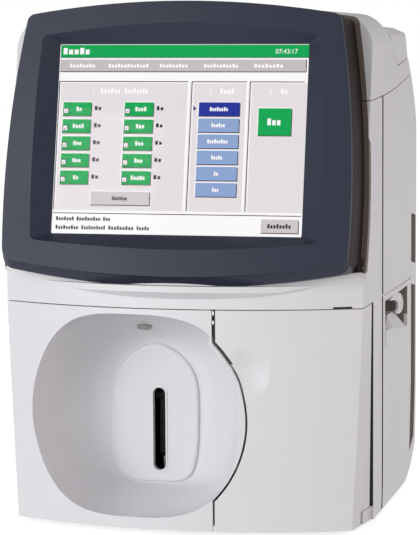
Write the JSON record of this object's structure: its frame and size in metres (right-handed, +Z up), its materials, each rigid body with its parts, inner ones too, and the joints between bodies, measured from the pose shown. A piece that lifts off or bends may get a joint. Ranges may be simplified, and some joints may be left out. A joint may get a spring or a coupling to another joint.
{
  "type": "blood gas analyzer",
  "caption": "Benchtop blood gas analyzer: tilted touch screen over a round moulded sample bay with a sampling slot, beside a swing-out cartridge door.",
  "frame": {"origin": "centre of the outline's footprint, on the surface the feet stand on", "axes": "+X to the viewer's right, the screen and sample bay face -Y, +Z up"},
  "size_m": [0.3108, 0.3104, 0.4394],
  "materials": {
    "warm_white": "fine texture",
    "slate": "satin",
    "brown_grey": "satin",
    "black_plastic": "matt",
    "grey_plastic": "satin",
    "clear_glass": "polished",
    "screen_face": "glossy",
    "board_green": "lacquered",
    "steel": "brushed",
    "plated": "zinc plated sheet",
    "rubber_black": "matt",
    "paper": "paper",
    "cartridge_blue": "satin",
    "lens": "translucent"
  },
  "bodies": {
    "housing": {"hinge_lugs": "warm_white", "front_frame": "warm_white", "top_cover": "warm_white", "side_panel_left": "warm_white", "side_panel_right": "warm_white", "rear_panel": "warm_white", "sample_panel": "warm_white", "wand_hook": "warm_white", "slot_rim": "warm_white", "screen_bezel": "slate", "bezel_surround": "brown_grey", "bezel_shell": "brown_grey", "recess_liners": "brown_grey", "sampler_housing": "black_plastic", "printer_frame": "black_plastic", "power_inlet": "black_plastic", "switch_frame": "black_plastic", "data_ports": "black_plastic", "fan_frame": "black_plastic", "thermal_head": "black_plastic", "bay_liner": "black_plastic", "roll_spindle": "black_plastic", "base_tray": "grey_plastic", "cartridge_front_plate": "grey_plastic", "touch_glass": "clear_glass", "lcd_panel": "screen_face", "main_board": "board_green", "display_board": "board_green", "hinge_pins": "steel", "printer_cover_pin": "steel", "rear_screws": "steel", "fan_guard": "steel", "board_posts": "steel", "chassis": "plated", "power_supply": "plated", "pump_motor": "plated", "sampler_motor": "plated", "feet": "rubber_black", "latch_magnet": "rubber_black", "cartridge": "cartridge_blue", "status_lens": "lens"},
    "door": {"door_shell": "warm_white", "door_liner": "grey_plastic", "latch_plate": "steel"},
    "printer_lid": {"printer_cover": "warm_white"},
    "paper_roll": {"paper_roll": "paper"},
    "platen": {"platen_roller": "rubber_black"},
    "sampler": {"sampler_arm": "steel", "sampler_probe": "steel"},
    "power_switch": {"switch_rocker": "black_plastic"},
    "fan": {"fan_rotor": "black_plastic"},
    "pump": {"pump_rotor": "steel", "pump_rollers": "rubber_black"}
  },
  "joints": [
    {"name": "door_swing", "type": "hinge", "parent": "housing", "child": "door", "pos_m": [0.1465, -0.08, 0.1], "axis": [0, 0, 1], "range_deg": [0, 100]},
    {"name": "printer_lid_hinge", "type": "hinge", "parent": "housing", "child": "printer_lid", "pos_m": [0.0635, 0, 0.42461], "axis": [0, -0.9843, 0.1765], "range_deg": [0, 95]},
    {"name": "paper_roll_turn", "type": "hinge", "parent": "housing", "child": "paper_roll", "pos_m": [0.1, 0.056, 0.374], "axis": [0, 1, 0], "continuous": true},
    {"name": "platen_turn", "type": "hinge", "parent": "housing", "child": "platen", "pos_m": [0.141, 0.056, 0.392], "axis": [0, 1, 0], "continuous": true},
    {"name": "sampler_swing", "type": "hinge", "parent": "housing", "child": "sampler", "pos_m": [-0.0355, -0.038, 0.101], "axis": [-1, 0, 0], "range_deg": [0, 60]},
    {"name": "power_rocker", "type": "hinge", "parent": "housing", "child": "power_switch", "pos_m": [0.09, 0.145, 0.093], "axis": [1, 0, 0], "range_deg": [-8, 8]},
    {"name": "fan_turn", "type": "hinge", "parent": "housing", "child": "fan", "pos_m": [-0.07, 0.1405, 0.25], "axis": [0, 1, 0], "continuous": true},
    {"name": "pump_turn", "type": "hinge", "parent": "housing", "child": "pump", "pos_m": [0.07, 0, 0.062], "axis": [1, 0, 0], "continuous": true}
  ]
}
